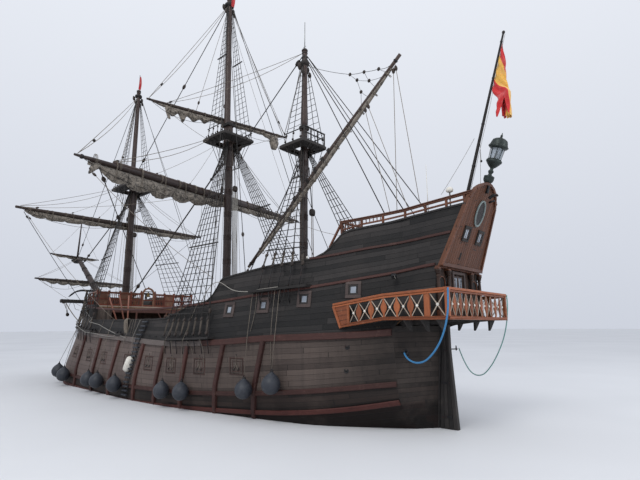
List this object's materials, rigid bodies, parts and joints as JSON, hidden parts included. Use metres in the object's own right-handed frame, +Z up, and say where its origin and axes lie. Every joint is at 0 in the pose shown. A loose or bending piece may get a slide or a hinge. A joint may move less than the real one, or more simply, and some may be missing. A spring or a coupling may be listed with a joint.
{
  "type": "galleon-type tall ship, 1:2 scale model",
  "caption": "Galleon-type tall ship afloat with furled sails, tarred planked hull, varnished stern gallery, braced yards and a red and yellow ensign, as a 1:2 scale model.",
  "frame": {"origin": "on the waterline plane, amidships, on the centre line; the water mount", "axes": "+X to the bow, +Y to port, +Z up; z = 0 is the waterline"},
  "size_m": [24.8136, 11.1419, 16.9771],
  "materials": {
    "tarred_wood": "tarred, weathered",
    "weathered_oak": "weathered, oiled",
    "mast_wood": "varnished dark",
    "varnished_wood": "varnished, orange-brown",
    "panel_wood": "varnished brown",
    "deck_wood": "bare, weathered",
    "canvas": "furled canvas",
    "rope": "laid rope",
    "blue_rope": "laid synthetic rope",
    "green_rope": "laid synthetic rope",
    "ensign_cloth": "red and yellow cloth",
    "iron": "black, matt",
    "bronze": "tarnished",
    "green_metal": "dark green paint"
  },
  "bodies": {
    "root": {"hull": "tarred_wood", "topside_port": "tarred_wood", "topside_starboard": "tarred_wood", "forecastle": "deck_wood", "quarterdeck": "deck_wood", "poop": "deck_wood", "transom": "panel_wood", "stern_gallery": "varnished_wood", "forecastle_rail": "varnished_wood", "poop_rail": "varnished_wood", "beakhead": "tarred_wood", "fore_top": "tarred_wood", "main_top": "tarred_wood", "mizzen_top": "tarred_wood", "fore_mast": "mast_wood", "main_mast": "mast_wood", "mizzen_mast": "mast_wood", "bowsprit": "mast_wood", "sprit_topmast": "mast_wood", "ensign_staff": "mast_wood", "mainstay": "rope", "forestay": "rope", "anchor_port": "iron", "anchor_starboard": "iron", "stern_lantern": "green_metal", "ensign": "ensign_cloth", "slack_warp_port": "blue_rope", "slack_warp_starboard": "green_rope"},
    "rudder": {"rudder": "weathered_oak"},
    "gallery_door_port": {"gallery_door_port": "panel_wood"},
    "gallery_door_starboard": {"gallery_door_starboard": "panel_wood"},
    "bell": {"bell": "bronze"},
    "fore_yard": {"fore_yard": "mast_wood", "fore_sail": "canvas"},
    "main_yard": {"main_yard": "mast_wood", "main_sail": "canvas"},
    "main_topsail_yard": {"main_topsail_yard": "mast_wood", "main_topsail": "canvas"},
    "mizzen_yard": {"mizzen_yard": "mast_wood", "mizzen_sail": "canvas"},
    "spritsail_yard": {"spritsail_yard": "mast_wood", "spritsail": "canvas"},
    "sprit_topsail_yard": {"sprit_topsail_yard": "mast_wood", "sprit_topsail": "canvas"},
    "gunport_lid_port_1": {"gunport_lid_port_1": "weathered_oak"},
    "gunport_lid_port_2": {"gunport_lid_port_2": "weathered_oak"},
    "gunport_lid_port_3": {"gunport_lid_port_3": "weathered_oak"},
    "gunport_lid_port_4": {"gunport_lid_port_4": "weathered_oak"},
    "gunport_lid_port_5": {"gunport_lid_port_5": "weathered_oak"},
    "gunport_lid_port_6": {"gunport_lid_port_6": "weathered_oak"},
    "gunport_lid_port_7": {"gunport_lid_port_7": "weathered_oak"},
    "gunport_lid_port_8": {"gunport_lid_port_8": "weathered_oak"},
    "gunport_lid_starboard_1": {"gunport_lid_starboard_1": "weathered_oak"},
    "gunport_lid_starboard_2": {"gunport_lid_starboard_2": "weathered_oak"},
    "gunport_lid_starboard_3": {"gunport_lid_starboard_3": "weathered_oak"},
    "gunport_lid_starboard_4": {"gunport_lid_starboard_4": "weathered_oak"},
    "gunport_lid_starboard_5": {"gunport_lid_starboard_5": "weathered_oak"},
    "gunport_lid_starboard_6": {"gunport_lid_starboard_6": "weathered_oak"},
    "gunport_lid_starboard_7": {"gunport_lid_starboard_7": "weathered_oak"},
    "gunport_lid_starboard_8": {"gunport_lid_starboard_8": "weathered_oak"}
  },
  "joints": [
    {"name": "rudder_hinge", "type": "hinge", "parent": "root", "child": "rudder", "pos_m": [-9.68, 0, 0], "axis": [-0.0861, 0, 0.9963], "range_deg": [-35, 35]},
    {"name": "gallery_door_port_hinge", "type": "hinge", "parent": "root", "child": "gallery_door_port", "pos_m": [-10.275, 0.229, 2.8], "axis": [0, 0, -1], "range_deg": [0, 95]},
    {"name": "gallery_door_starboard_hinge", "type": "hinge", "parent": "root", "child": "gallery_door_starboard", "pos_m": [-10.275, -0.229, 2.8], "axis": [0, 0, 1], "range_deg": [0, 95]},
    {"name": "bell_swing", "type": "hinge", "parent": "root", "child": "bell", "pos_m": [3.76, 0, 3.66], "axis": [0, 1, 0], "range_deg": [-40, 40]},
    {"name": "fore_yard_brace", "type": "hinge", "parent": "root", "child": "fore_yard", "pos_m": [5.91957, 0, 6.95], "axis": [0, 0, 1], "range_deg": [-41.62, 14.38]},
    {"name": "main_yard_brace", "type": "hinge", "parent": "root", "child": "main_yard", "pos_m": [-1.68907, 0, 6.77], "axis": [0, 0, 1], "range_deg": [-43.85, 12.15]},
    {"name": "main_topsail_yard_brace", "type": "hinge", "parent": "root", "child": "main_topsail_yard", "pos_m": [-1.61946, 0, 9.935], "axis": [0, 0, 1], "range_deg": [-27.56, 42.44]},
    {"name": "spritsail_yard_brace", "type": "hinge", "parent": "root", "child": "spritsail_yard", "pos_m": [10.375, 0, 4.525], "axis": [0, 0, 1], "range_deg": [-53.96, 6.04]},
    {"name": "sprit_topsail_yard_brace", "type": "hinge", "parent": "root", "child": "sprit_topsail_yard", "pos_m": [12.2, 0, 6.075], "axis": [0, 0, 1], "range_deg": [-51.25, 18.75]},
    {"name": "mizzen_yard_brace", "type": "hinge", "parent": "root", "child": "mizzen_yard", "pos_m": [-5.51, 0, 5.95], "axis": [0, 0, 1], "range_deg": [-20, 20]},
    {"name": "gunport_lid_port_1_hinge", "type": "hinge", "parent": "root", "child": "gunport_lid_port_1", "pos_m": [4.4962, 2.39153, 1.41445], "axis": [0.9952, -0.0976, 0], "range_deg": [0, 100]},
    {"name": "gunport_lid_port_2_hinge", "type": "hinge", "parent": "root", "child": "gunport_lid_port_2", "pos_m": [2.84906, 2.55248, 1.3582], "axis": [0.9984, -0.0571, 0], "range_deg": [0, 100]},
    {"name": "gunport_lid_port_3_hinge", "type": "hinge", "parent": "root", "child": "gunport_lid_port_3", "pos_m": [1.44951, 2.61839, 1.31841], "axis": [0.9994, -0.0349, 0], "range_deg": [0, 100]},
    {"name": "gunport_lid_port_4_hinge", "type": "hinge", "parent": "root", "child": "gunport_lid_port_4", "pos_m": [-0.34993, 2.64837, 1.29829], "axis": [1, 0.0042, 0], "range_deg": [0, 100]},
    {"name": "gunport_lid_port_5_hinge", "type": "hinge", "parent": "root", "child": "gunport_lid_port_5", "pos_m": [-1.6746, 2.62863, 1.28855], "axis": [0.9995, 0.0325, 0], "range_deg": [0, 100]},
    {"name": "gunport_lid_port_6_hinge", "type": "hinge", "parent": "root", "child": "gunport_lid_port_6", "pos_m": [-2.84958, 2.57911, 1.27887], "axis": [0.998, 0.0629, 0], "range_deg": [0, 100]},
    {"name": "gunport_lid_port_7_hinge", "type": "hinge", "parent": "root", "child": "gunport_lid_port_7", "pos_m": [-4.10024, 2.49009, 1.31898], "axis": [0.9957, 0.0926, 0], "range_deg": [0, 100]},
    {"name": "gunport_lid_port_8_hinge", "type": "hinge", "parent": "root", "child": "gunport_lid_port_8", "pos_m": [-5.47644, 2.34438, 1.38372], "axis": [0.989, 0.1478, 0], "range_deg": [0, 100]},
    {"name": "gunport_lid_starboard_1_hinge", "type": "hinge", "parent": "root", "child": "gunport_lid_starboard_1", "pos_m": [4.4962, -2.39153, 1.41445], "axis": [-0.9952, -0.0976, 0], "range_deg": [0, 100]},
    {"name": "gunport_lid_starboard_2_hinge", "type": "hinge", "parent": "root", "child": "gunport_lid_starboard_2", "pos_m": [2.84906, -2.55248, 1.3582], "axis": [-0.9984, -0.0571, 0], "range_deg": [0, 100]},
    {"name": "gunport_lid_starboard_3_hinge", "type": "hinge", "parent": "root", "child": "gunport_lid_starboard_3", "pos_m": [1.44951, -2.61839, 1.31841], "axis": [-0.9994, -0.0349, 0], "range_deg": [0, 100]},
    {"name": "gunport_lid_starboard_4_hinge", "type": "hinge", "parent": "root", "child": "gunport_lid_starboard_4", "pos_m": [-0.34993, -2.64837, 1.29829], "axis": [-1, 0.0042, 0], "range_deg": [0, 100]},
    {"name": "gunport_lid_starboard_5_hinge", "type": "hinge", "parent": "root", "child": "gunport_lid_starboard_5", "pos_m": [-1.6746, -2.62863, 1.28855], "axis": [-0.9995, 0.0325, 0], "range_deg": [0, 100]},
    {"name": "gunport_lid_starboard_6_hinge", "type": "hinge", "parent": "root", "child": "gunport_lid_starboard_6", "pos_m": [-2.84958, -2.57911, 1.27887], "axis": [-0.998, 0.0629, 0], "range_deg": [0, 100]},
    {"name": "gunport_lid_starboard_7_hinge", "type": "hinge", "parent": "root", "child": "gunport_lid_starboard_7", "pos_m": [-4.10024, -2.49009, 1.31898], "axis": [-0.9957, 0.0926, 0], "range_deg": [0, 100]},
    {"name": "gunport_lid_starboard_8_hinge", "type": "hinge", "parent": "root", "child": "gunport_lid_starboard_8", "pos_m": [-5.47644, -2.34438, 1.38372], "axis": [-0.989, 0.1478, 0], "range_deg": [0, 100]}
  ]
}
